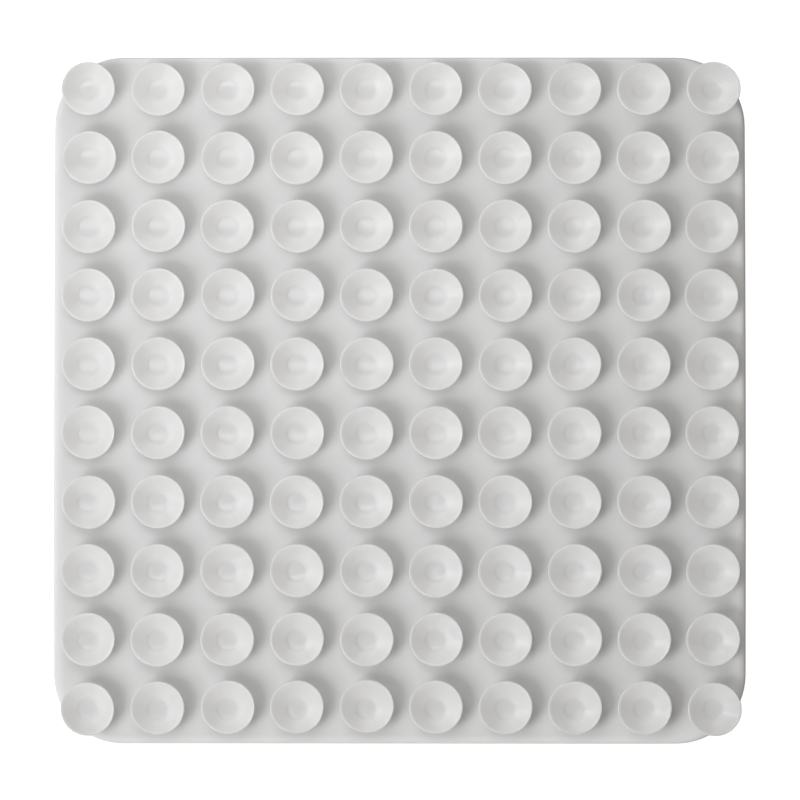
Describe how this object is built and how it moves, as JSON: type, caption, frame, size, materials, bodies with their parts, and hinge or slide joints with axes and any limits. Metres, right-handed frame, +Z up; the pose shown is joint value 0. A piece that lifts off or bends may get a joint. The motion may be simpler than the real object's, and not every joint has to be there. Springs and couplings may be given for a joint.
{
  "type": "suction cup shower mat",
  "caption": "Square white anti-slip shower mat lying tread side down, with a grid of flexible suction cups standing up from its underside.",
  "frame": {"origin": "centre of the mat's bounding box at its base, in the plane of the tread bars' lower faces", "axes": "+Z up, out of the mouths of the suction cups; X and Y along the mat's sides, row 01 of the cups at the +Y side and the tread bars along X. In use the mat is turned over, so that the cups face the floor."},
  "size_m": [0.53, 0.53, 0.0162],
  "materials": {
    "sheet": "satin white soft elastomer, slightly translucent",
    "tread": "matt white soft elastomer, finely grained",
    "cup": "semi-gloss white soft elastomer, translucent where thin"
  },
  "bodies": {
    "mat": {"mat_sheet": "sheet", "tread_bars": "tread", "cup_necks_row_01": "cup", "cup_necks_row_02": "cup", "cup_necks_row_03": "cup", "cup_necks_row_04": "cup", "cup_necks_row_05": "cup", "cup_necks_row_06": "cup", "cup_necks_row_07": "cup", "cup_necks_row_08": "cup", "cup_necks_row_09": "cup", "cup_necks_row_10": "cup", "cup_skirts_row_01": "cup", "cup_skirts_row_02": "cup", "cup_skirts_row_03": "cup", "cup_skirts_row_04": "cup", "cup_skirts_row_05": "cup", "cup_skirts_row_06": "cup", "cup_skirts_row_07": "cup", "cup_skirts_row_08": "cup", "cup_skirts_row_09": "cup", "cup_skirts_row_10": "cup"},
    "cup_row_01": {"cup_lips_row_01": "cup"},
    "cup_row_02": {"cup_lips_row_02": "cup"},
    "cup_row_03": {"cup_lips_row_03": "cup"},
    "cup_row_04": {"cup_lips_row_04": "cup"},
    "cup_row_05": {"cup_lips_row_05": "cup"},
    "cup_row_06": {"cup_lips_row_06": "cup"},
    "cup_row_07": {"cup_lips_row_07": "cup"},
    "cup_row_08": {"cup_lips_row_08": "cup"},
    "cup_row_09": {"cup_lips_row_09": "cup"},
    "cup_row_10": {"cup_lips_row_10": "cup"}
  },
  "joints": [
    {"name": "cup_row_01_flatten", "type": "slide", "parent": "mat", "child": "cup_row_01", "axis": [0, 0, -1], "range_m": [0, 0.0045], "stiffness_N_per_m": 6000, "deforming": ["cup_skirts_row_01"]},
    {"name": "cup_row_02_flatten", "type": "slide", "parent": "mat", "child": "cup_row_02", "axis": [0, 0, -1], "range_m": [0, 0.0045], "stiffness_N_per_m": 6000, "deforming": ["cup_skirts_row_02"]},
    {"name": "cup_row_03_flatten", "type": "slide", "parent": "mat", "child": "cup_row_03", "axis": [0, 0, -1], "range_m": [0, 0.0045], "stiffness_N_per_m": 6000, "deforming": ["cup_skirts_row_03"]},
    {"name": "cup_row_04_flatten", "type": "slide", "parent": "mat", "child": "cup_row_04", "axis": [0, 0, -1], "range_m": [0, 0.0045], "stiffness_N_per_m": 6000, "deforming": ["cup_skirts_row_04"]},
    {"name": "cup_row_05_flatten", "type": "slide", "parent": "mat", "child": "cup_row_05", "axis": [0, 0, -1], "range_m": [0, 0.0045], "stiffness_N_per_m": 6000, "deforming": ["cup_skirts_row_05"]},
    {"name": "cup_row_06_flatten", "type": "slide", "parent": "mat", "child": "cup_row_06", "axis": [0, 0, -1], "range_m": [0, 0.0045], "stiffness_N_per_m": 6000, "deforming": ["cup_skirts_row_06"]},
    {"name": "cup_row_07_flatten", "type": "slide", "parent": "mat", "child": "cup_row_07", "axis": [0, 0, -1], "range_m": [0, 0.0045], "stiffness_N_per_m": 6000, "deforming": ["cup_skirts_row_07"]},
    {"name": "cup_row_08_flatten", "type": "slide", "parent": "mat", "child": "cup_row_08", "axis": [0, 0, -1], "range_m": [0, 0.0045], "stiffness_N_per_m": 6000, "deforming": ["cup_skirts_row_08"]},
    {"name": "cup_row_09_flatten", "type": "slide", "parent": "mat", "child": "cup_row_09", "axis": [0, 0, -1], "range_m": [0, 0.0045], "stiffness_N_per_m": 6000, "deforming": ["cup_skirts_row_09"]},
    {"name": "cup_row_10_flatten", "type": "slide", "parent": "mat", "child": "cup_row_10", "axis": [0, 0, -1], "range_m": [0, 0.0045], "stiffness_N_per_m": 6000, "deforming": ["cup_skirts_row_10"]}
  ]
}
